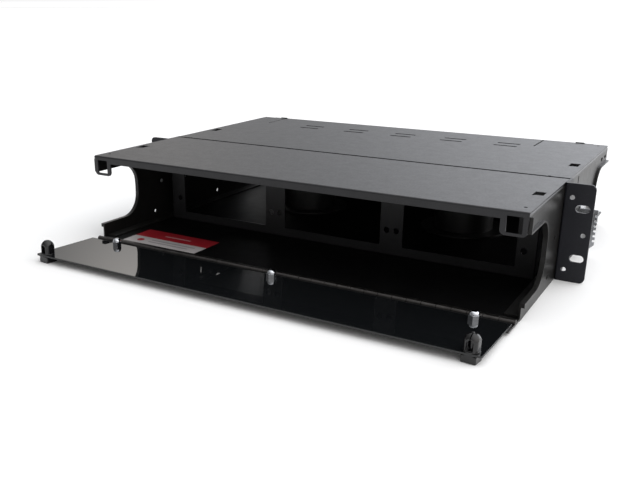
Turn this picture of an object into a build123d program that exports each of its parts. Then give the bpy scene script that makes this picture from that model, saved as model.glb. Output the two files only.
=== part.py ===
from build123d import *
import os

# Fiber termination box, 2U, for a 19-inch rack. Millimetres.
# +X to the right as seen from the front, +Y to the rear, +Z up.
# Everything is modelled with y measured back from the front edge of the top cover. export() then
# moves it, so that the origin lies on the bottom face, on the left-right centre plane, directly
# below the front faces of the two rack ears.

os.makedirs("parts", exist_ok=True)

# --- Driving dimensions ------------------------------------------------------------------------
RACK_SETBACK = 119.2      # cover's front edge to the rack plane, where the ears' front faces are
BODY_WIDTH = 432.0
BODY_DEPTH = 329.4
BODY_HEIGHT = 88.0
SHEET = 1.5               # steel sheet of the body
HALF = BODY_WIDTH / 2
INSIDE = HALF - SHEET     # inner face of each side
COVER_BOTTOM = BODY_HEIGHT - SHEET
BEND = 1.5                # outside radius of a tight fold

EAR_SHEET = 2.0
EAR_WIDTH = 241.3 - HALF  # 482.6 mm over both ears
EAR_HEIGHT = 87.8
EIA_ROWS = (21.8, 66.25)  # slot heights, 44.45 mm apart
EIA_X = 232.55            # 465.1 mm between left and right slots
SLOT_LENGTH = 12.0
SLOT_WIDTH = 6.8
EAR_HOLE_R = 2.1
EAR_HOLES = ((7.0, 75.5), (19.5, 43.1), (7.0, 10.7))    # (distance from the fold, height)
SPARE_STARTS = (82.0, 203.0)    # other places for an ear's fold, by its two lower holes

UPPER_ARM_FRONT = 2.0     # front ends of each side, above and below its front cutout
LOWER_ARM_FRONT = 5.5
CUT_LOW, CUT_HIGH = 15.0, 71.0
CUT_RADIUS = 22.0
FRONT_CUT_END = 61.5
REAR_CUT_START = 268.0
LIP_OUT = 2.6             # how far the lip round a side cutout stands out
ARM_FLANGE_TOP = 84.0     # the lip goes on up the upper arm's front end to here
ARM_FLANGE_LOW = 11.5     # and down the lower arm's front end to here
SIDE_FOLD = 2.4           # outside radius of the side's fold into its top ledge
TOP_LEDGE = 13.5
FOOT_LEDGE = 12.0
FLOOR_FRONT = -4.8

COVER_SPLIT = 136.0
SEAM_GAP = 4.0
VENT_HALF, SLIT_HALF = 1.9, 0.8    # half-widths of the rear cover's slots and slits
FLANGE_DROP = 7.0         # front flange of the top cover
LOOP_OUTER, LOOP_INNER = 215.8, 195.0
LOOP_BOTTOM = 68.5
WINDOW_WIDTH, WINDOW_HEIGHT = 12.4, 13.0
WINDOW_X, WINDOW_Z = 205.7, 77.3

BULKHEAD_Y = 105.0
BULKHEAD_HALF = 202.2
ADAPTER_PITCH = 130.6
ADAPTER_WIDTH = 107.5
ADAPTER_LOW, ADAPTER_HIGH = 10.0, 78.0
ADAPTER_HOLE_SPACING = 120.65
ADAPTER_HOLE_ROWS = (25.6, 62.4)
ADAPTER_HOLE_R = 3.0

HINGE_Y, HINGE_Z = -8.0, 4.0
PIN_R = 1.4
KNUCKLE_R = 2.5
KNUCKLE_LENGTH = 12.53
KNUCKLES = 34
HINGE_CENTRE = 3.5        # the hinge sits a little to the right of the middle
LEAF = 1.5
LEAF_REAR = 3.2
LEAF_FRONT = -27.0
RUNNING_GAP = 0.05

DOOR_SHEET = 1.5
DOOR_HALF = 214.8
DOOR_REAR, DOOR_FRONT = -12.0, -87.5
DOOR_LOW = SHEET + LEAF
DOOR_TOP = DOOR_LOW + DOOR_SHEET
NUT_X = (-174.5, 6.5, 187.5)
NUT_Y = -19.5
NUT_TURNS = (13.5, 28.7, 37.6)    # how each nut happens to be tightened
NUT_FLATS = 8.0           # low M5 cap nut
NUT_HEX, NUT_HEIGHT = 3.8, 7.0
LATCH_Y = HINGE_Y - (WINDOW_Z - HINGE_Z)    # meets the window when the door is shut
GROMMET_NECK_R = 4.6
GROMMET_BASE_R = 6.3
GROMMET_LIP = 0.8
GROMMET_TURN = -5.0
DOME_HALF = 5.3           # the dome is square with rounded corners
DOME_CORNER = 3.2
DOME_BORE_R = 3.9
DOME_SHOULDER = 12.0      # top of the hollow that the prongs spring into
DOME_FOOT_R, DOME_SPRING = 6.3, 11.0
DOME_TIP_R, DOME_TOP = 2.8, 18.2
PLUNGER_R = 2.0
PLUNGER_HEAD = 11.4
PLUNGER_HEAD_THICK = 5.0
DOOR_TILT = 2.4           # the open door lies on its two latch buttons, a little off level

SPOOL_X, SPOOL_Y = 95.0, 235.0
SPOOL_DRUM_R, SPOOL_FLANGE_R = 31.0, 45.0
SPOOL_HEIGHT = 44.0
SPOOL_WALL = 2.5
SPOOL_BOSS_R = 6.0

M3_R, M3_HEAD_R = 1.5, 3.0
M4_R, M4_HEAD_R = 2.0, 4.0
M5_R, M5_HEAD_R = 2.5, 4.6
CLEARANCE = 0.2


# --- Helpers -----------------------------------------------------------------------------------
def export(node, *solids):
    """Writes one node, moved to the row frame."""
    moved = [Pos(0, -RACK_SETBACK, 0) * solid for solid in solids]
    shape = moved[0] if len(moved) == 1 else Compound(children=moved)
    export_step(shape, f"parts/{node}.step")


def slab(x, y, z):
    """A box between three pairs of limits."""
    centre = [(low + high) / 2 for low, high in (x, y, z)]
    size = [high - low for low, high in (x, y, z)]
    return Pos(*centre) * Box(*size)


def rod(start, direction, radius, length):
    """A cylinder that starts at a point and runs along a direction."""
    return extrude(Plane(start, z_dir=direction) * Circle(radius), length)


def hexagon(start, direction, across_flats, length, turn=0):
    outline = RegularPolygon(across_flats / 2, 6, major_radius=False, rotation=turn)
    return extrude(Plane(start, z_dir=direction) * outline, length)


def other_side(solid):
    """The same piece on the left side of the box."""
    return mirror(solid, about=Plane.YZ)


def both_sides(solid):
    return [solid, other_side(solid)]


def edges_along(solid, axis, **at):
    """The solid's straight edges along an axis that lie at the given x, y or z."""
    found = solid.edges().filter_by(axis)
    for name, value in at.items():
        found = found.filter_by(lambda e: abs(getattr(e.center(), name.upper()) - value) < 0.01)
    return found


def pan_screw(seat, direction, radius, head_radius, head_height, shank):
    """Pan-head screw: seat is the point under its head, and direction is where its shank goes."""
    head_plane = Plane(seat, z_dir=[-d for d in direction])
    head = extrude(head_plane * Circle(head_radius), head_height)
    head = fillet(head.edges().group_by(Axis(seat, head_plane.z_dir))[-1], head_height * 0.45)
    recess = extrude(head_plane.offset(head_height) * Rectangle(head_radius, 0.8), -head_height * 0.5)
    recess += extrude(head_plane.offset(head_height) * Rectangle(0.8, head_radius), -head_height * 0.5)
    return head - recess + rod(seat, direction, radius, shank)


def countersunk_screw(face_point, direction, radius, head_radius, shank):
    """Countersunk screw: face_point is the middle of its flat top, direction is where it points."""
    drop = head_radius - radius
    plane = Plane(face_point, z_dir=direction)
    head = loft([plane * Circle(head_radius), plane.offset(drop) * Circle(radius)])
    recess = extrude(plane * Rectangle(head_radius, 0.8), drop * 0.55)
    recess += extrude(plane * Rectangle(0.8, head_radius), drop * 0.55)
    return head + rod(face_point, direction, radius, shank) - recess


def countersink(face_point, direction, radius, head_radius, depth):
    """The space a countersunk screw takes in a stack of sheets of that depth."""
    plane = Plane(face_point, z_dir=direction)
    drop = head_radius - radius
    return loft([plane * Circle(head_radius), plane.offset(drop) * Circle(radius)]) + rod(
        face_point, direction, radius, depth
    )


def hex_nut(start, direction, across_flats, height, bore):
    nut = hexagon(start, direction, across_flats, height)
    return nut - rod(start, direction, bore, height)


# --- Floor and sides ---------------------------------------------------------------------------
BULKHEAD_SCREWS = [(x, BULKHEAD_Y + 9) for x in (-184.0, -65.3, 65.3, 184.0)]
REAR_PANEL_Y = BODY_DEPTH - SHEET
REAR_SCREWS = [(x, REAR_PANEL_Y - 8) for x in (-150.0, 0.0, 150.0)]
SPOOL_SCREWS = [(-SPOOL_X, SPOOL_Y), (SPOOL_X, SPOOL_Y)]
FLOOR_SCREWS = BULKHEAD_SCREWS + REAR_SCREWS + SPOOL_SCREWS
UP, DOWN, RIGHT, LEFT = (0, 0, 1), (0, 0, -1), (1, 0, 0), (-1, 0, 0)


def base_pan():
    floor = slab((-INSIDE, INSIDE), (FLOOR_FRONT, BODY_DEPTH), (0, SHEET))
    for x, y in FLOOR_SCREWS:
        floor -= countersink((x, y, 0), UP, M3_R, M3_HEAD_R, SHEET)
    return floor


def cutout_outline(y_from, y_to, grow=0.0):
    """Rounded rectangle in the side's plane, from y_from to y_to, larger by grow all round."""
    width = y_to - y_from + 2 * grow
    height = CUT_HIGH - CUT_LOW + 2 * grow
    centre = Pos((y_from + y_to) / 2, (CUT_LOW + CUT_HIGH) / 2)
    return Plane.YZ * centre * RectangleRounded(width, height, CUT_RADIUS + grow)


def side_hole(y, z, radius=EAR_HOLE_R):
    return rod((INSIDE - 1, y, z), RIGHT, radius, SHEET + 2)


def side_panel():
    """The right side: wall, top and foot ledges, and lipped cutouts for cables at both ends."""
    front_cut = (-FRONT_CUT_END, FRONT_CUT_END)
    rear_cut = (REAR_CUT_START, 2 * BODY_DEPTH - REAR_CUT_START)
    full = (UPPER_ARM_FRONT, BODY_DEPTH)
    panel = slab((INSIDE, HALF), full, (0, COVER_BOTTOM))
    panel += slab((HALF - TOP_LEDGE, HALF), full, (COVER_BOTTOM - SHEET, COVER_BOTTOM))
    panel = fillet(edges_along(panel, Axis.Y, x=HALF, z=COVER_BOTTOM), SIDE_FOLD)
    panel += slab((INSIDE - FOOT_LEDGE, INSIDE), (LOWER_ARM_FRONT + 4, BODY_DEPTH - 3), (SHEET, 2 * SHEET))
    for y_from, y_to in (front_cut, rear_cut):
        opening = extrude(cutout_outline(y_from, y_to), HALF + 20)
        lip_ring = extrude(cutout_outline(y_from, y_to, SHEET), HALF + LIP_OUT)
        lip = lip_ring & slab((INSIDE, HALF + LIP_OUT), full, (0, BODY_HEIGHT))
        panel = panel + lip - opening
    middle = (CUT_LOW + CUT_HIGH) / 2
    panel -= slab((0, HALF + 20), (0, LOWER_ARM_FRONT), (-1, middle))
    for front, z_limits in (
        (UPPER_ARM_FRONT, (CUT_HIGH, ARM_FLANGE_TOP)),
        (LOWER_ARM_FRONT, (ARM_FLANGE_LOW, CUT_LOW)),
    ):
        panel += slab((HALF - 0.5, HALF + LIP_OUT), (front, front + SHEET), z_limits)
    for distance, height in EAR_HOLES:
        panel -= side_hole(RACK_SETBACK + distance, height)
    for start in SPARE_STARTS:
        for distance, height in EAR_HOLES[1:]:
            panel -= side_hole(start + distance, height)
    panel -= slab((INSIDE - 1, HALF + 1), (176.4, 179.6), (75.0, 82.5))
    for y in (298.7, 317.3):
        panel -= slab((INSIDE - 1, HALF + 1), (y - 4.6, y + 4.6), (76.0, 79.6))
    for y, _ in TAB_HOLES:
        notch = (HALF - TOP_LEDGE - 1, TAB_X + TAB_HOLE[0] / 2 + 1)
        panel -= slab(notch, (y - 8.5, y + 8.5), (80, COVER_BOTTOM + 1))
    panel -= rod((COVER_SCREW_X, COVER_SCREW_Y, 80), UP, M3_R + CLEARANCE, 10)
    panel -= rod((REAR_COVER_SCREW_X, REAR_COVER_SCREW_Y, 80), UP, M3_R + 0.4, 10)
    return panel


# --- Top covers --------------------------------------------------------------------------------
TAB_HOLES = ((64.0, 9.0), (200.0, 22.0))    # (y of the hole, how steeply its tongue goes down)
TAB_HOLE = (8.6, 14.0)
TAB_GAP = 1.2             # beside the tongue
TAB_LENGTH = 10.2
TAB_X = 207.2
COVER_SCREW_X, COVER_SCREW_Y = 209.0, 15.0
REAR_COVER_SCREW_X, REAR_COVER_SCREW_Y = 207.0, 321.0


def locating_tab(y, slope):
    """The tongue cut free on three sides of the rectangular hole and pressed down as a ramp."""
    low, high = TAB_X - TAB_HOLE[0] / 2 + TAB_GAP, TAB_X + TAB_HOLE[0] / 2 - 0.1
    tongue = slab((low, high), (0, TAB_LENGTH), (-SHEET, 0))
    return Pos(0, y - TAB_HOLE[1] / 2 - 0.35, BODY_HEIGHT) * Rot(-slope, 0, 0) * tongue


def with_tabs(cover, y, slope):
    for sign in (1, -1):
        x = sign * TAB_X
        hole = slab((x - TAB_HOLE[0] / 2, x + TAB_HOLE[0] / 2), (y - TAB_HOLE[1] / 2, y + TAB_HOLE[1] / 2),
                    (COVER_BOTTOM - 1, BODY_HEIGHT + 1))
        tongue = locating_tab(y, slope)
        if sign < 0:
            tongue = other_side(tongue)
        above = slab((-HALF, HALF), (y - 20, y + 20), (BODY_HEIGHT, BODY_HEIGHT + 5))
        cover = cover - hole + (tongue - above)
    return cover


def front_top_cover():
    rear = COVER_SPLIT - SEAM_GAP / 2
    cover = slab((-HALF, HALF), (0, rear), (COVER_BOTTOM, BODY_HEIGHT))
    cover += slab((-HALF, HALF), (0, SHEET), (BODY_HEIGHT - FLANGE_DROP, BODY_HEIGHT))
    cover = fillet(edges_along(cover, Axis.X, y=0, z=BODY_HEIGHT), BEND)
    loop_x = (LOOP_INNER + LOOP_OUTER) / 2
    loop_size = (LOOP_OUTER - LOOP_INNER, COVER_BOTTOM - LOOP_BOTTOM)
    for sign in (1, -1):
        plate = slab((sign * loop_x - loop_size[0] / 2, sign * loop_x + loop_size[0] / 2), (0, SHEET),
                     (LOOP_BOTTOM, LOOP_BOTTOM + loop_size[1]))
        plate = fillet(edges_along(plate, Axis.Y, z=LOOP_BOTTOM), 4.0)
        cover += plate
        cover -= extrude(Plane.XZ * Pos(sign * WINDOW_X, WINDOW_Z) * RectangleRounded(
            WINDOW_WIDTH, WINDOW_HEIGHT, 0.8), -SHEET)
        cover -= rod((sign * COVER_SCREW_X, COVER_SCREW_Y, 80), UP, M3_R, 10)
    return with_tabs(cover, *TAB_HOLES[0])


def seam_strip():
    """Strip welded under the covers' joint, which carries the front edge of the rear cover."""
    half = HALF - TOP_LEDGE - 0.5
    return slab((-half, half), (COVER_SPLIT - 12, COVER_SPLIT + 12), (COVER_BOTTOM - SHEET, COVER_BOTTOM))


def rear_top_cover():
    front = COVER_SPLIT + SEAM_GAP / 2
    rear = REAR_PANEL_Y - 0.3
    cover = slab((-HALF, HALF), (front, rear), (COVER_BOTTOM, BODY_HEIGHT))
    slot_depth = (COVER_BOTTOM - 1, BODY_HEIGHT + 1)
    for i in range(-2, 3):
        for y in (271.0, 286.5):
            x = 2.0 + 60.0 * i
            cover -= slab((x - 12.5, x + 12.5), (y - VENT_HALF, y + VENT_HALF), slot_depth)
    for x in (-183.5, 149.1):
        cover -= slab((x - SLIT_HALF, x + SLIT_HALF), (283.0, rear + 1), slot_depth)
    for sign in (1, -1):
        cover -= rod((sign * 198.4, front, COVER_BOTTOM), UP, 1.6, SHEET)
        cover -= countersink((sign * REAR_COVER_SCREW_X, REAR_COVER_SCREW_Y, BODY_HEIGHT), DOWN,
                             M3_R, M3_HEAD_R, SHEET)
    return with_tabs(cover, *TAB_HOLES[1])


def front_cover_screws():
    seat = (COVER_SCREW_X, COVER_SCREW_Y, COVER_BOTTOM - SHEET)
    return both_sides(pan_screw(seat, UP, M3_R, 2.8, 2.0, 2 * SHEET - 1.0))


def rear_cover_screws():
    top = (REAR_COVER_SCREW_X, REAR_COVER_SCREW_Y, BODY_HEIGHT)
    return both_sides(countersunk_screw(top, DOWN, M3_R, M3_HEAD_R, 8.0))


def rear_cover_nuts():
    under_ledge = (REAR_COVER_SCREW_X, REAR_COVER_SCREW_Y, COVER_BOTTOM - SHEET)
    return both_sides(hex_nut(under_ledge, DOWN, 5.5, 2.4, M3_R + 0.35))


# --- Bulkhead, rear panel, spools --------------------------------------------------------------
def bulkhead():
    """Channel across the box with three openings for adapter panels, two panels high each."""
    back = BULKHEAD_Y + SHEET
    top = COVER_BOTTOM - 0.1
    wall = slab((-BULKHEAD_HALF, BULKHEAD_HALF), (BULKHEAD_Y, back), (SHEET, top))
    wall += slab((-BULKHEAD_HALF, BULKHEAD_HALF), (back, back + 14), (SHEET, 2 * SHEET))
    wall += slab((-BULKHEAD_HALF, BULKHEAD_HALF), (back, back + 11), (top - SHEET, top))
    for sign in (1, -1):
        edge = sign * (BULKHEAD_HALF - SHEET / 2)
        wall += slab((edge - SHEET / 2, edge + SHEET / 2), (back, back + 14), (SHEET, top))
    wall = fillet(edges_along(wall, Axis.Z, y=BULKHEAD_Y), 1.2)
    middle = (ADAPTER_LOW + ADAPTER_HIGH) / 2
    for i in (-1, 0, 1):
        centre = i * ADAPTER_PITCH
        opening = RectangleRounded(ADAPTER_WIDTH, ADAPTER_HIGH - ADAPTER_LOW, 1.0)
        wall -= extrude(Plane.XZ * Pos(centre, middle) * opening, -(back + 5))
        for offset in (-ADAPTER_HOLE_SPACING / 2, ADAPTER_HOLE_SPACING / 2):
            for z in ADAPTER_HOLE_ROWS:
                wall -= rod((centre + offset, BULKHEAD_Y - 1, z), (0, 1, 0), ADAPTER_HOLE_R, SHEET + 2)
    for x, y in BULKHEAD_SCREWS:
        wall -= rod((x, y, SHEET), UP, M3_R, SHEET)
    return wall


def rear_panel():
    """Closes the back between the two rear cable cutouts, and hooks behind the rear cover."""
    half = HALF - 15.0
    front = REAR_PANEL_Y
    top = COVER_BOTTOM - 0.1
    wall = slab((-half, half), (front, BODY_DEPTH), (SHEET, BODY_HEIGHT))
    wall += slab((-half, half), (front - 14, front), (SHEET, 2 * SHEET))
    wall += slab((-half, half), (front - 12, front), (top - SHEET, top))
    for sign in (1, -1):
        edge = sign * (half - SHEET / 2)
        wall += slab((edge - SHEET / 2, edge + SHEET / 2), (front - 14, front), (SHEET, top))
        x = sign * 187.5
        wall += slab((x - 4.5, x + 4.5), (front, BODY_DEPTH), (BODY_HEIGHT, BODY_HEIGHT + 0.8))
    for x, y in REAR_SCREWS:
        wall -= rod((x, y, SHEET), UP, M3_R, SHEET)
    return wall


def floor_screws(places, length=6.0):
    return [countersunk_screw((x, y, 0), UP, M3_R, M3_HEAD_R, length) for x, y in places]


def floor_nuts(places):
    return [hex_nut((x, y, 2 * SHEET), UP, 5.5, 2.4, M3_R) for x, y in places]


def fibre_spool(x):
    """Slack-storage drum, a cup turned over, with a foot ring and four fingers that keep the turns on it."""
    drum = rod((x, SPOOL_Y, SHEET), UP, SPOOL_DRUM_R, SPOOL_HEIGHT)
    drum += rod((x, SPOOL_Y, SHEET), UP, SPOOL_FLANGE_R, 2.0)
    hollow = Circle(SPOOL_DRUM_R - SPOOL_WALL) - Circle(SPOOL_BOSS_R)
    drum -= extrude(Pos(x, SPOOL_Y, SHEET) * hollow, SPOOL_HEIGHT - SPOOL_WALL)
    finger_z = SHEET + SPOOL_HEIGHT - 1.0
    for quarter in range(4):
        finger = Pos((SPOOL_FLANGE_R + SPOOL_BOSS_R) / 2, 0, 0) * Box(SPOOL_FLANGE_R - SPOOL_BOSS_R, 12, 2)
        drum += Pos(x, SPOOL_Y, finger_z) * Rot(0, 0, 45 + 90 * quarter) * finger
    return drum - rod((x, SPOOL_Y, SHEET), UP, M3_R, 14)


def floor_label():
    return slab((-190.4, -98.6), (4.2, 50.0), (SHEET, SHEET + 0.2))


# --- Rack ears and the cable bracket -----------------------------------------------------------
def ear():
    """Right ear: an angle with the rack slots in one leg and its screws in the other."""
    front, back = RACK_SETBACK, RACK_SETBACK + EAR_SHEET
    angle = slab((HALF, HALF + EAR_WIDTH), (front, back), (0, EAR_HEIGHT))
    angle += slab((HALF, HALF + EAR_SHEET), (back, front + EAR_WIDTH), (0, EAR_HEIGHT))
    angle = fillet(edges_along(angle, Axis.Z, x=HALF, y=front), 1.8)
    angle = fillet(edges_along(angle, Axis.Y, x=HALF + EAR_WIDTH), 4.5)
    angle = fillet(edges_along(angle, Axis.X, y=front + EAR_WIDTH), 4.5)
    for z in EIA_ROWS:
        slot = Plane.XZ * Pos(EIA_X, z) * SlotOverall(SLOT_LENGTH, SLOT_WIDTH)
        angle -= extrude(slot, -(back + 1))
    for distance, z in EAR_HOLES:
        angle -= rod((HALF + distance, front - 1, z), (0, 1, 0), EAR_HOLE_R, EAR_SHEET + 2)
        angle -= rod((HALF - 1, front + distance, z), RIGHT, EAR_HOLE_R, EAR_SHEET + 2)
    return angle


def ear_side_screws():
    """Screws from outside through the ear's second leg and the side."""
    return [
        pan_screw((HALF + EAR_SHEET, RACK_SETBACK + distance, z), LEFT, M4_R, M4_HEAD_R, 2.6, EAR_SHEET + 5.1)
        for distance, z in EAR_HOLES
    ]


def ear_side_nuts():
    return [hex_nut((INSIDE, RACK_SETBACK + distance, z), LEFT, 7.0, 3.2, M4_R) for distance, z in EAR_HOLES]


BRACKET_START = SPARE_STARTS[1]
BRACKET_HOLES = [(BRACKET_START + distance, z) for distance, z in EAR_HOLES[1:]]
BRACKET_OUT = 17.5
BRACKET_TEETH = 6
TOOTH_DEPTH = 2.0


def cable_bracket():
    """Angle on the right side whose standing leg has a row of teeth that cable ties go between."""
    rear = BRACKET_START + 25
    low, high = 3.5, 49.0
    foot = slab((HALF, HALF + SHEET), (BRACKET_START - SHEET, rear), (low, high))
    foot = fillet(edges_along(foot, Axis.X, y=rear), 4.0)
    leg = slab((HALF, HALF + BRACKET_OUT), (BRACKET_START - SHEET, BRACKET_START), (low + 1, high - 2))
    leg = chamfer(edges_along(leg, Axis.Y, x=HALF + BRACKET_OUT, z=low + 1), 8.0)
    through = (BRACKET_START - 3, BRACKET_START + 3)
    pitch = (high - low - 16) / BRACKET_TEETH
    for i in range(BRACKET_TEETH):
        z = low + 12 + i * pitch
        leg -= slab((HALF + BRACKET_OUT - TOOTH_DEPTH, HALF + 20), through, (z, z + pitch * 0.42))
    for z in (low + 14, low + 29):
        leg -= slab((HALF + 5.5, HALF + 8.5), through, (z, z + 8))
    bracket = foot + leg
    for y, z in BRACKET_HOLES:
        bracket -= countersink((HALF + SHEET, y, z), LEFT, M3_R, M3_HEAD_R, SHEET)
    return bracket


def bracket_screws():
    return [countersunk_screw((HALF + SHEET, y, z), LEFT, M3_R, M3_HEAD_R, 6.4) for y, z in BRACKET_HOLES]


def bracket_nuts():
    return [hex_nut((INSIDE, y, z), LEFT, 5.5, 2.4, M3_R) for y, z in BRACKET_HOLES]


# --- Hinge and door ----------------------------------------------------------------------------
def knuckle_span(i):
    start = HINGE_CENTRE + (i - KNUCKLES / 2) * KNUCKLE_LENGTH
    return start + 0.2, start + KNUCKLE_LENGTH - 0.2


def hinge_leaf(first, bore, leaf_limits, relief):
    """One leaf with every second knuckle. relief is the notch that clears the other leaf's knuckles."""
    ends = (knuckle_span(0)[0], knuckle_span(KNUCKLES - 1)[1])
    leaf = slab(ends, leaf_limits, (SHEET, SHEET + LEAF))
    for i in range(KNUCKLES):
        low, high = knuckle_span(i)
        if i % 2 != first:
            leaf -= slab((low - 0.2, high + 0.2), relief, (0, DOOR_TOP))
    for i in range(first, KNUCKLES, 2):
        low, high = knuckle_span(i)
        leaf += rod((low, HINGE_Y, HINGE_Z), RIGHT, KNUCKLE_R, high - low)
    return leaf - rod((ends[0] - 1, HINGE_Y, HINGE_Z), RIGHT, bore, ends[1] - ends[0] + 2)


def hinge_leaf_chassis():
    return hinge_leaf(0, PIN_R, (HINGE_Y, LEAF_REAR), (HINGE_Y - 4, HINGE_Y + KNUCKLE_R + 0.35))


def hinge_leaf_door():
    relief = (HINGE_Y - KNUCKLE_R - 0.35, HINGE_Y + 4)
    leaf = hinge_leaf(1, PIN_R + RUNNING_GAP, (LEAF_FRONT, HINGE_Y), relief)
    for x in NUT_X:
        leaf -= rod((x, NUT_Y, 0), UP, M5_R + CLEARANCE, DOOR_TOP)
    return leaf


def hinge_pin():
    length = KNUCKLES * KNUCKLE_LENGTH
    return rod((HINGE_CENTRE - length / 2, HINGE_Y, HINGE_Z), RIGHT, PIN_R, length)


def door_panel():
    panel = slab((-DOOR_HALF, DOOR_HALF), (DOOR_FRONT, DOOR_REAR), (DOOR_LOW, DOOR_TOP))
    panel = fillet(edges_along(panel, Axis.Z, y=DOOR_FRONT), 2.0)
    for x in NUT_X:
        panel -= rod((x, NUT_Y, 0), UP, M5_R + CLEARANCE, 10)
    for sign in (1, -1):
        panel -= rod((sign * WINDOW_X, LATCH_Y, 0), UP, GROMMET_NECK_R, 10)
    return panel


def door_bolts():
    """Low round heads under the hinge leaf, with shanks up into the cap nuts."""
    bolts = []
    for x in NUT_X:
        head = rod((x, NUT_Y, 0.1), UP, M5_HEAD_R, SHEET - 0.1)
        head = fillet(head.edges().group_by(Axis.Z)[0], 0.9)
        bolts.append(head + rod((x, NUT_Y, SHEET), UP, M5_R, LEAF + DOOR_SHEET + 4.4))
    return bolts


def acorn_nuts():
    """Low hexagon cap nuts: chamfered flats under a broad round-shouldered cap."""
    nuts = []
    cap_r = NUT_FLATS / 2 - 0.2
    for x, turn in zip(NUT_X, NUT_TURNS):
        hexed = hexagon((x, NUT_Y, DOOR_TOP), UP, NUT_FLATS, NUT_HEX, turn)
        cone = Cone(NUT_FLATS / 2 + 2 * NUT_HEX, NUT_FLATS / 2 + 0.1, NUT_HEX,
                    align=(Align.CENTER, Align.CENTER, Align.MIN))
        hexed &= Pos(x, NUT_Y, DOOR_TOP) * cone
        cap = rod((x, NUT_Y, DOOR_TOP + 1), UP, cap_r, NUT_HEIGHT - 1)
        cap = fillet(cap.edges().group_by(Axis.Z)[-1], 2.6)
        bore = rod((x, NUT_Y, DOOR_TOP), UP, M5_R + RUNNING_GAP, 4.8)
        nuts.append(hexed + cap - bore)
    return nuts


def dome_envelope():
    """A blunt bullet, wide enough at its foot to clear the corners of the square dome."""
    base = DOOR_TOP + GROMMET_LIP
    side = Polyline((0, base), (DOME_FOOT_R, base), (DOME_FOOT_R, DOME_SPRING))
    crown = TangentArc((DOME_FOOT_R, DOME_SPRING), (DOME_TIP_R, DOME_TOP - 0.8), tangent=(0, 1))
    back = Polyline((DOME_TIP_R, DOME_TOP - 0.8), (0, DOME_TOP), (0, base))
    return revolve(Plane.XZ * make_face(side + crown + back), Axis.Z)


def latch_grommet(x):
    """Nylon snap grommet: a lip on each side of the door, and a pointed dome in two springy prongs."""
    base_top = DOOR_TOP + GROMMET_LIP
    body = rod((0, 0, DOOR_LOW - GROMMET_LIP), UP, GROMMET_BASE_R, GROMMET_LIP)
    body += rod((0, 0, DOOR_LOW - GROMMET_LIP), UP, GROMMET_NECK_R, DOOR_SHEET + 2 * GROMMET_LIP)
    body += rod((0, 0, DOOR_TOP), UP, GROMMET_BASE_R, GROMMET_LIP)
    square = RectangleRounded(2 * DOME_HALF, 2 * DOME_HALF, DOME_CORNER)
    body += dome_envelope() & extrude(Pos(0, 0, DOOR_TOP) * square, DOME_TOP)
    prongs_from = base_top + 0.5
    body -= rod((0, 0, 0), UP, PLUNGER_R + 0.3, DOME_TOP - 2.0)
    body -= rod((0, 0, prongs_from), UP, DOME_BORE_R, DOME_SHOULDER - prongs_from)
    body -= slab((-2.7, 2.7), (-8, 8), (prongs_from, DOME_SHOULDER - 1.2))
    body -= rod((0, 8, DOME_SHOULDER - 1.2), (0, -1, 0), 2.7, 16)
    body -= slab((-0.45, 0.45), (-8, 8), (prongs_from, DOME_TOP + 1))
    return Pos(x, LATCH_Y, 0) * Rot(0, 0, GROMMET_TURN) * body


def latch_plunger(x):
    """Square button under the door with a pin that goes up into the grommet."""
    outline = Rot(0, 0, GROMMET_TURN) * RectangleRounded(PLUNGER_HEAD, PLUNGER_HEAD, 0.8)
    head_top = DOOR_LOW - GROMMET_LIP
    head = extrude(Pos(x, LATCH_Y, head_top - PLUNGER_HEAD_THICK) * outline, PLUNGER_HEAD_THICK)
    pin = rod((x, LATCH_Y, head_top), UP, PLUNGER_R, 12.0)
    return head + fillet(pin.edges().group_by(Axis.Z)[-1], 1.2)


def propped(*solids):
    """Turns pieces of the level door up about the hinge, to where the buttons hold it."""
    turn = Pos(0, HINGE_Y, HINGE_Z) * Rot(-DOOR_TILT, 0, 0) * Pos(0, -HINGE_Y, -HINGE_Z)
    return [turn * solid for solid in solids]


# --- Write every node --------------------------------------------------------------------------
export("base_pan", base_pan())
export("side_panel_right", side_panel())
export("side_panel_left", other_side(side_panel()))
export("front_top_cover", front_top_cover())
export("seam_strip", seam_strip())
export("rear_top_cover", rear_top_cover())
export("front_cover_screws", *front_cover_screws())
export("rear_cover_screws", *rear_cover_screws())
export("rear_cover_nuts", *rear_cover_nuts())
export("bulkhead", bulkhead())
export("bulkhead_screws", *floor_screws(BULKHEAD_SCREWS))
export("bulkhead_nuts", *floor_nuts(BULKHEAD_SCREWS))
export("rear_panel", rear_panel())
export("rear_panel_screws", *floor_screws(REAR_SCREWS))
export("rear_panel_nuts", *floor_nuts(REAR_SCREWS))
export("fibre_spool_right", fibre_spool(SPOOL_X))
export("fibre_spool_left", fibre_spool(-SPOOL_X))
export("spool_screws", *floor_screws(SPOOL_SCREWS, 12.0))
export("floor_label", floor_label())

export("ear_right", ear())
export("ear_left", other_side(ear()))
export("ear_screws", *ear_side_screws(), *[other_side(screw) for screw in ear_side_screws()])
export("ear_nuts", *ear_side_nuts(), *[other_side(nut) for nut in ear_side_nuts()])
export("cable_bracket", cable_bracket())
export("cable_bracket_screws", *bracket_screws())
export("cable_bracket_nuts", *bracket_nuts())

export("hinge_leaf_chassis", hinge_leaf_chassis())
export("hinge_leaf_door", *propped(hinge_leaf_door()))
export("hinge_pin", hinge_pin())
export("door_panel", *propped(door_panel()))
export("door_bolts", *propped(*door_bolts()))
export("acorn_nuts", *propped(*acorn_nuts()))
for name, latch_x in (("right", WINDOW_X), ("left", -WINDOW_X)):
    export(f"latch_grommet_{name}", *propped(latch_grommet(latch_x)))
    export(f"latch_plunger_{name}", *propped(latch_plunger(latch_x)))
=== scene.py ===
import math

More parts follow.
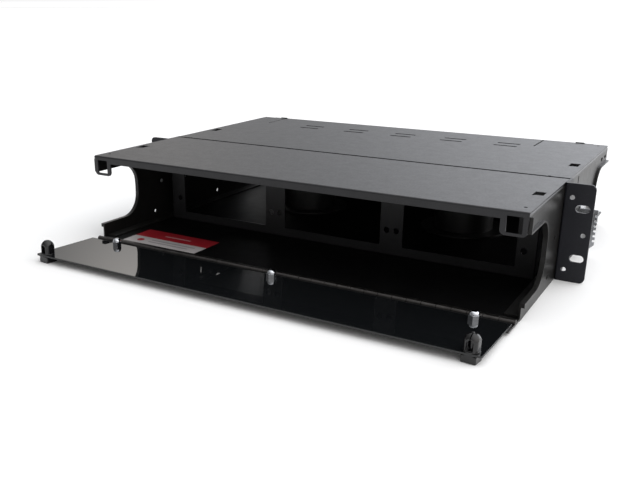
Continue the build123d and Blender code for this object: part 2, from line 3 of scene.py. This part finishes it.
import bpy
from mathutils import Matrix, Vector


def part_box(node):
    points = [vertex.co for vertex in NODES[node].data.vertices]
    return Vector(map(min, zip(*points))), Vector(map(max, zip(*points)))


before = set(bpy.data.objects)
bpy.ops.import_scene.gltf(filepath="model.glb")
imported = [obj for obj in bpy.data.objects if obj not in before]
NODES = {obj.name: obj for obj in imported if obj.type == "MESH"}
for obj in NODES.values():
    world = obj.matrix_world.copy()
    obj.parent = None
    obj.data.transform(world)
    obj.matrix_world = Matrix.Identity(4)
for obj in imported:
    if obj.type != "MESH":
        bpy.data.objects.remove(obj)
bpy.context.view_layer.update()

MM = 0.001


# --- Shader graphs -----------------------------------------------------------------------------
class Graph:
    """A material's node tree, with one short method for each kind of node that is used here."""

    def __init__(self, name):
        self.material = bpy.data.materials.new(name)
        self.material.use_nodes = True
        self.tree = self.material.node_tree
        self.tree.nodes.clear()
        self.output = self.node("ShaderNodeOutputMaterial")
        self.shader = self.node("ShaderNodeBsdfPrincipled")
        self.link(self.shader.outputs["BSDF"], self.output.inputs["Surface"])
        coordinates = self.node("ShaderNodeTexCoord")
        self.place = coordinates.outputs["Object"]
        self.own_normal = coordinates.outputs["Normal"]

    def node(self, kind, **settings):
        made = self.tree.nodes.new(kind)
        for name, value in settings.items():
            setattr(made, name, value)
        return made

    def link(self, source, target):
        self.tree.links.new(source, target)

    def feed(self, target, value):
        """Links a socket, or sets a plain value."""
        if isinstance(value, bpy.types.NodeSocket):
            self.link(value, target)
        else:
            target.default_value = value

    def math(self, operation, a, b=0.0, clamp=False):
        made = self.node("ShaderNodeMath", operation=operation, use_clamp=clamp)
        self.feed(made.inputs[0], a)
        self.feed(made.inputs[1], b)
        return made.outputs[0]

    def noise(self, scale, detail=2.0, roughness=0.5, place=None):
        made = self.node("ShaderNodeTexNoise")
        self.link(place or self.place, made.inputs["Vector"])
        made.inputs["Scale"].default_value = scale
        made.inputs["Detail"].default_value = detail
        made.inputs["Roughness"].default_value = roughness
        return made.outputs["Fac"]

    def spread(self, value, low, high, to_low=0.0, to_high=1.0):
        """Maps low..high to to_low..to_high, clamped."""
        made = self.node("ShaderNodeMapRange")
        self.feed(made.inputs["Value"], value)
        for name, number in zip(("From Min", "From Max", "To Min", "To Max"), (low, high, to_low, to_high)):
            made.inputs[name].default_value = number
        return made.outputs["Result"]

    def mix(self, share, first, second):
        made = self.node("ShaderNodeMix", data_type="RGBA")
        self.feed(made.inputs["Factor"], share)
        self.feed(made.inputs["A"], first)
        self.feed(made.inputs["B"], second)
        return made.outputs["Result"]

    def soft_edges(self, radius):
        """The surface normal as if every edge were rounded by that radius."""
        made = self.node("ShaderNodeBevel", samples=4)
        made.inputs["Radius"].default_value = radius
        return made.outputs["Normal"]

    def bump(self, height, distance, strength=1.0, normal=None):
        made = self.node("ShaderNodeBump")
        made.inputs["Strength"].default_value = strength
        made.inputs["Distance"].default_value = distance
        self.feed(made.inputs["Height"], height)
        if normal is not None:
            self.link(normal, made.inputs["Normal"])
        self.link(made.outputs["Normal"], self.shader.inputs["Normal"])

    def edge_mask(self, radius):
        """1 on edges of that width, 0 on flat faces."""
        geometry = self.node("ShaderNodeNewGeometry")
        rounded = self.soft_edges(radius)
        product = self.node("ShaderNodeVectorMath", operation="DOT_PRODUCT")
        self.link(rounded, product.inputs[0])
        self.link(geometry.outputs["Normal"], product.inputs[1])
        return self.spread(product.outputs["Value"], 0.995, 0.85)

    def upward(self):
        """How far a face looks up when the piece is at rest: 1 up, 0 sideways, -1 down."""
        split = self.node("ShaderNodeSeparateXYZ")
        self.link(self.own_normal, split.inputs[0])
        return split.outputs["Z"]

    def facing_up(self):
        """1 on level faces that look up, 0 on upright ones."""
        return self.spread(self.upward(), 0.7, 0.95)

    def upright(self):
        """1 on upright faces, 0 on level ones."""
        return self.spread(self.math("ABSOLUTE", self.upward()), 0.95, 0.7)


def rgb(red, green, blue):
    return (red, green, blue, 1.0)


def powder_coat(name, tint, roughness, grain, gloss=1.45, dust=1.0):
    """Black textured powder coat: fine orange-peel bumps, grains of dust on top, paler edges that are
    painted edge highlight and wear.
    """
    g = Graph(name)
    blotch = g.spread(g.noise(38.0, 4.0, 0.65), 0.3, 0.7)
    dark = rgb(*tint)
    blotched = rgb(*(c * 1.35 + 0.001 for c in tint))
    dusty = rgb(*(c * 1.6 + 0.030 for c in tint))
    fleck = rgb(*(c * 2.2 + 0.006 for c in tint))
    edge_highlight_and_wear_colour = rgb(*(c * 3.0 + 0.02 for c in tint))
    colour = g.mix(blotch, dark, blotched)
    settled = g.math("MULTIPLY", g.facing_up(), g.spread(g.noise(520.0, 2.0, 0.6), 0.35, 0.72, 0.0, dust))
    colour = g.mix(settled, colour, dusty)
    speck = g.spread(g.noise(620.0, 2.0), 0.62, 0.74)
    colour = g.mix(g.math("MULTIPLY", speck, 0.5), colour, fleck)
    # Paler edges: painted edge highlight, broken up by noise like wear.
    edge_highlight_and_wear = g.math("MULTIPLY", g.edge_mask(0.3 * MM), g.spread(g.noise(70.0, 3.0), 0.55, 0.75, 0.0, 0.5))
    g.link(g.mix(edge_highlight_and_wear, colour, edge_highlight_and_wear_colour), g.shader.inputs["Base Color"])
    rough = g.spread(g.noise(90.0, 3.0, 0.6), 0.3, 0.7, roughness - 0.02, roughness + 0.02)
    g.link(rough, g.shader.inputs["Roughness"])
    g.shader.inputs["IOR"].default_value = gloss
    peel = g.math("ADD", g.noise(900.0, 2.0), g.math("MULTIPLY", g.noise(330.0, 1.0), 0.8))
    g.bump(peel, grain, 0.6, g.soft_edges(0.25 * MM))
    return g.material


def smoked_acrylic():
    """Polished dark sheet with matt edges: mirror-like at a low angle, with faint dust and hairline rubs."""
    g = Graph("smoked_acrylic")
    g.shader.inputs["IOR"].default_value = 1.6
    rub = g.noise(160.0, 5.0, 0.65)
    smear = g.noise(14.0, 3.0, 0.6)
    polished = g.math("ADD", g.spread(rub, 0.35, 0.75, 0.015, 0.05), g.spread(smear, 0.45, 0.75, 0.0, 0.035))
    sawn = g.math("MULTIPLY", g.upright(), 0.5)
    g.link(g.math("ADD", polished, sawn), g.shader.inputs["Roughness"])
    dust = g.spread(g.noise(1500.0, 1.0), 0.70, 0.76)
    colour = g.mix(g.math("MULTIPLY", dust, 0.5), rgb(0.0055, 0.0062, 0.0070), rgb(0.07, 0.07, 0.07))
    g.link(colour, g.shader.inputs["Base Color"])
    g.bump(smear, 0.02 * MM, 0.08, g.soft_edges(0.3 * MM))
    return g.material


def metal(name, colour, roughness, mottle, grain_scale, edge=0.25):
    """Bare or plated metal with a mottled tint and uneven polish."""
    g = Graph(name)
    g.shader.inputs["Metallic"].default_value = 1.0
    patches = g.spread(g.noise(grain_scale, 3.0, 0.55), 0.35, 0.65)
    shade = rgb(*(c * (1.0 - mottle) for c in colour))
    g.link(g.mix(patches, rgb(*colour), shade), g.shader.inputs["Base Color"])
    rough = g.spread(g.noise(grain_scale * 2.3, 3.0), 0.3, 0.7, roughness * 0.75, roughness * 1.3)
    g.link(rough, g.shader.inputs["Roughness"])
    g.bump(g.noise(grain_scale * 6.0, 2.0), 0.02 * MM, 0.25, g.soft_edges(edge * MM))
    return g.material


def moulded(name, colour, roughness, edge=0.3):
    """Moulded plastic with a faint grain and slightly paler edges, a painted edge highlight."""
    g = Graph(name)
    tone = g.spread(g.noise(60.0, 3.0), 0.35, 0.65)
    paler = rgb(*(c * 1.35 + 0.002 for c in colour))
    base = g.mix(tone, rgb(*colour), paler)
    # Paler edges all round: painted edge highlight.
    edge_highlight_colour = rgb(*(c * 2.0 + 0.02 for c in colour))
    rub = g.math("MULTIPLY", g.edge_mask(edge * MM), 0.6)
    g.link(g.mix(rub, base, edge_highlight_colour), g.shader.inputs["Base Color"])
    rough = g.spread(g.noise(240.0, 3.0), 0.3, 0.7, roughness - 0.05, roughness + 0.06)
    g.link(rough, g.shader.inputs["Roughness"])
    g.bump(g.noise(1100.0, 2.0), 0.03 * MM, 0.3, g.soft_edges(edge * MM))
    return g.material


def label_vinyl():
    """A red band over a pale one, with plain grey bars and a red spot, and no lettering."""
    g = Graph("label_vinyl")
    low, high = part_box("floor_label")
    split = g.node("ShaderNodeSeparateXYZ")
    g.link(g.place, split.inputs[0])
    across = g.spread(split.outputs["X"], low.x, high.x)
    along = g.spread(split.outputs["Y"], low.y, high.y)

    def between(value, start, end):
        above = g.math("GREATER_THAN", value, start)
        below = g.math("LESS_THAN", value, end)
        return g.math("MULTIPLY", above, below)

    def patch(x_from, x_to, y_from, y_to):
        return g.math("MULTIPLY", between(across, x_from, x_to), between(along, y_from, y_to))

    fade = g.spread(g.noise(55.0, 3.0), 0.3, 0.7)
    red = g.mix(fade, rgb(0.36, 0.012, 0.022), rgb(0.42, 0.025, 0.035))
    pale = g.mix(fade, rgb(0.50, 0.47, 0.47), rgb(0.58, 0.55, 0.55))
    colour = g.mix(g.math("GREATER_THAN", along, 0.49), pale, red)
    for row, end in ((0.33, 0.90), (0.20, 0.84)):
        bar = patch(0.30, end, row, row + 0.045)
        colour = g.mix(g.math("MULTIPLY", bar, 0.55), colour, rgb(0.10, 0.10, 0.11))
    stripe = patch(0.34, 0.70, 0.70, 0.76)
    colour = g.mix(g.math("MULTIPLY", stripe, 0.45), colour, rgb(0.75, 0.60, 0.60))
    dx = g.math("MULTIPLY", g.math("SUBTRACT", across, 0.17), (high.x - low.x) / (high.y - low.y))
    dy = g.math("SUBTRACT", along, 0.27)
    radius = g.math("SQRT", g.math("ADD", g.math("MULTIPLY", dx, dx), g.math("MULTIPLY", dy, dy)))
    colour = g.mix(g.math("LESS_THAN", radius, 0.085), colour, rgb(0.40, 0.02, 0.03))
    g.link(colour, g.shader.inputs["Base Color"])
    g.shader.inputs["Roughness"].default_value = 0.4
    g.shader.inputs["IOR"].default_value = 1.3
    g.bump(g.noise(400.0, 2.0), 0.02 * MM, 0.2)
    return g.material


# --- Finishes on the CAD pieces ----------------------------------------------------------------
def dress(material, *names):
    for name in names:
        mesh = NODES[name].data
        mesh.materials.clear()
        mesh.materials.append(material)


def dress_all():
    """One finish for each group of CAD nodes."""
    dress(powder_coat("powder_coat_cover", (0.012, 0.012, 0.0135), 0.38, 0.055 * MM, 1.40),
          "front_top_cover", "rear_top_cover")
    dress(powder_coat("powder_coat_ears", (0.0095, 0.0098, 0.0130), 0.42, 0.05 * MM, 1.33),
          "ear_left", "ear_right")
    dress(powder_coat("powder_coat_sides", (0.009, 0.0087, 0.0083), 0.36, 0.05 * MM, 1.34, 0.3),
          "side_panel_left", "side_panel_right", "rear_panel")
    # The base pan and seam strip get a near-black, duller copy of the same powder coat: painted shade for
    # the dim inside of the box.
    dress(powder_coat("powder_coat_body_painted_shade", (0.002, 0.002, 0.0022), 0.50, 0.04 * MM, 1.18, 0.06),
          "base_pan", "seam_strip")
    dress(powder_coat("powder_coat_bulkhead", (0.012, 0.012, 0.013), 0.40, 0.045 * MM, 1.38, 0.3),
          "bulkhead")
    dress(smoked_acrylic(), "door_panel")
    dress(metal("hinge_steel", (0.085, 0.080, 0.078), 0.40, 0.35, 90.0),
          "hinge_leaf_chassis", "hinge_leaf_door", "hinge_pin")
    dress(metal("bright_nickel", (0.66, 0.68, 0.72), 0.09, 0.12, 420.0), "acorn_nuts")
    dress(metal("zinc_plate", (0.56, 0.57, 0.59), 0.34, 0.3, 190.0),
          "cable_bracket", "cable_bracket_screws", "cable_bracket_nuts", "ear_nuts",
          "bulkhead_nuts", "rear_panel_nuts", "rear_cover_nuts", "door_bolts")
    dress(metal("black_oxide", (0.055, 0.055, 0.058), 0.40, 0.3, 300.0),
          "ear_screws", "front_cover_screws", "rear_cover_screws",
          "bulkhead_screws", "rear_panel_screws", "spool_screws")
    dress(moulded("black_nylon", (0.003, 0.003, 0.0036), 0.20),
          "latch_grommet_left", "latch_grommet_right", "latch_plunger_left", "latch_plunger_right")
    dress(moulded("black_plastic", (0.003, 0.003, 0.003), 0.5), "fibre_spool_left", "fibre_spool_right")
    dress(label_vinyl(), "floor_label")


# --- Stage -------------------------------------------------------------------------------------
FLOOR_REACH = 60.0        # metres


def pale_floor():
    """White paper out to the horizon."""
    mesh = bpy.data.meshes.new("studio_floor")
    corners = [(x * FLOOR_REACH, y * FLOOR_REACH, 0.0) for x, y in ((-1, -1), (1, -1), (1, 1), (-1, 1))]
    mesh.from_pydata(corners, [], [(0, 1, 2, 3)])
    plane = bpy.data.objects.new("studio_floor", mesh)
    bpy.context.scene.collection.objects.link(plane)
    g = Graph("studio_paper")
    tone = g.spread(g.noise(2.2, 2.0), 0.3, 0.7)
    g.link(g.mix(tone, rgb(0.95, 0.95, 0.95), rgb(0.97, 0.97, 0.97)), g.shader.inputs["Base Color"])
    g.shader.inputs["Roughness"].default_value = 0.9
    g.shader.inputs["IOR"].default_value = 1.2
    mesh.materials.append(g.material)


# Soft panels of the studio: (azimuth, elevation, sharpness, strength, tint), azimuth from +Y towards +X.
SOFT_PANELS = (
    (285, 12, 12.0, 0.12, (1.00, 0.96, 0.92)),
    (319, 19, 160.0, 1.05, (1.00, 0.93, 0.86)),
    (0, 12, 12.0, 1.25, (0.94, 0.97, 1.04)),
    (25, 12, 12.0, 1.95, (0.94, 0.97, 1.04)),
    (50, 12, 12.0, 1.40, (1.00, 0.98, 0.95)),
    (90, 16, 4.5, 0.56, (1.00, 0.96, 0.91)),
    (150, 16, 4.5, 0.50, (1.00, 0.98, 0.95)),
    (0, 45, 4.0, 0.55, (0.98, 0.99, 1.00)),
    (90, 45, 4.0, 1.00, (0.99, 0.99, 1.00)),
    (0, 90, 4.0, 1.05, (0.98, 0.99, 1.00)),
)
AMBIENT = 0.10
HORIZON, HORIZON_SHARPNESS = 0.85, 45.0


def studio_world():
    """A room with soft light panels, mostly behind, above and to the right, and a white horizon."""
    world = bpy.data.worlds.new("studio_world")
    world.use_nodes = True
    bpy.context.scene.world = world
    nodes, links = world.node_tree.nodes, world.node_tree.links
    background = nodes["Background"]
    direction = nodes.new("ShaderNodeTexCoord").outputs["Generated"]

    def step(kind, operation, *inputs):
        made = nodes.new(kind)
        made.operation = operation
        for socket, value in zip(made.inputs, inputs):
            if isinstance(value, bpy.types.NodeSocket):
                links.new(value, socket)
            else:
                socket.default_value = value
        return made

    def number(operation, *inputs):
        return step("ShaderNodeMath", operation, *inputs).outputs[0]

    def glow(aim, sharpness, strength):
        """strength at the aimed direction, falling off smoothly around it."""
        facing = step("ShaderNodeVectorMath", "DOT_PRODUCT", direction, aim).outputs["Value"]
        falloff = number("EXPONENT", number("MULTIPLY", number("SUBTRACT", facing, 1.0), sharpness))
        return number("MULTIPLY", falloff, strength)

    total = (AMBIENT, AMBIENT, AMBIENT)
    for azimuth, elevation, sharpness, strength, tint in SOFT_PANELS:
        turn, lift = math.radians(azimuth), math.radians(elevation)
        aim = (math.sin(turn) * math.cos(lift), math.cos(turn) * math.cos(lift), math.sin(lift))
        colour = step("ShaderNodeVectorMath", "SCALE", tint)
        links.new(glow(aim, sharpness, strength), colour.inputs["Scale"])
        total = step("ShaderNodeVectorMath", "ADD", total, colour.outputs["Vector"]).outputs["Vector"]
    split = nodes.new("ShaderNodeSeparateXYZ")
    links.new(direction, split.inputs[0])
    height = number("ABSOLUTE", split.outputs["Z"])
    horizon = number("EXPONENT", number("MULTIPLY", height, -HORIZON_SHARPNESS))
    band = step("ShaderNodeVectorMath", "SCALE", (HORIZON, HORIZON, HORIZON))
    links.new(horizon, band.inputs["Scale"])
    total = step("ShaderNodeVectorMath", "ADD", total, band.outputs["Vector"]).outputs["Vector"]
    links.new(total, background.inputs["Color"])
    background.inputs["Strength"].default_value = 1.0


CAMERA_PLACE = (0.34022, -0.68021, 0.23264)       # metres
CAMERA_YAW, CAMERA_PITCH, CAMERA_ROLL = 32.16, 18.89, -0.17       # degrees
SENSOR_WIDTH, LENS = 36.0, 43.14                  # millimetres
LENS_SHIFT = (0.0863, 0.0411)


def camera():
    """A view from the front right, from a little above."""
    data = bpy.data.cameras.new("camera")
    data.sensor_width = SENSOR_WIDTH
    data.lens = LENS
    data.shift_x, data.shift_y = LENS_SHIFT
    data.clip_start, data.clip_end = 0.01, 50.0
    view = bpy.data.objects.new("camera", data)
    bpy.context.scene.collection.objects.link(view)
    yaw = Matrix.Rotation(math.radians(CAMERA_YAW), 4, "Z")
    pitch = Matrix.Rotation(math.radians(90.0 - CAMERA_PITCH), 4, "X")
    roll = Matrix.Rotation(math.radians(CAMERA_ROLL), 4, "Z")
    view.matrix_world = Matrix.Translation(CAMERA_PLACE) @ yaw @ pitch @ roll
    bpy.context.scene.camera = view


def studio():
    pale_floor()
    studio_world()
    bpy.context.scene.view_settings.view_transform = "Standard"


dress_all()
studio()
camera()
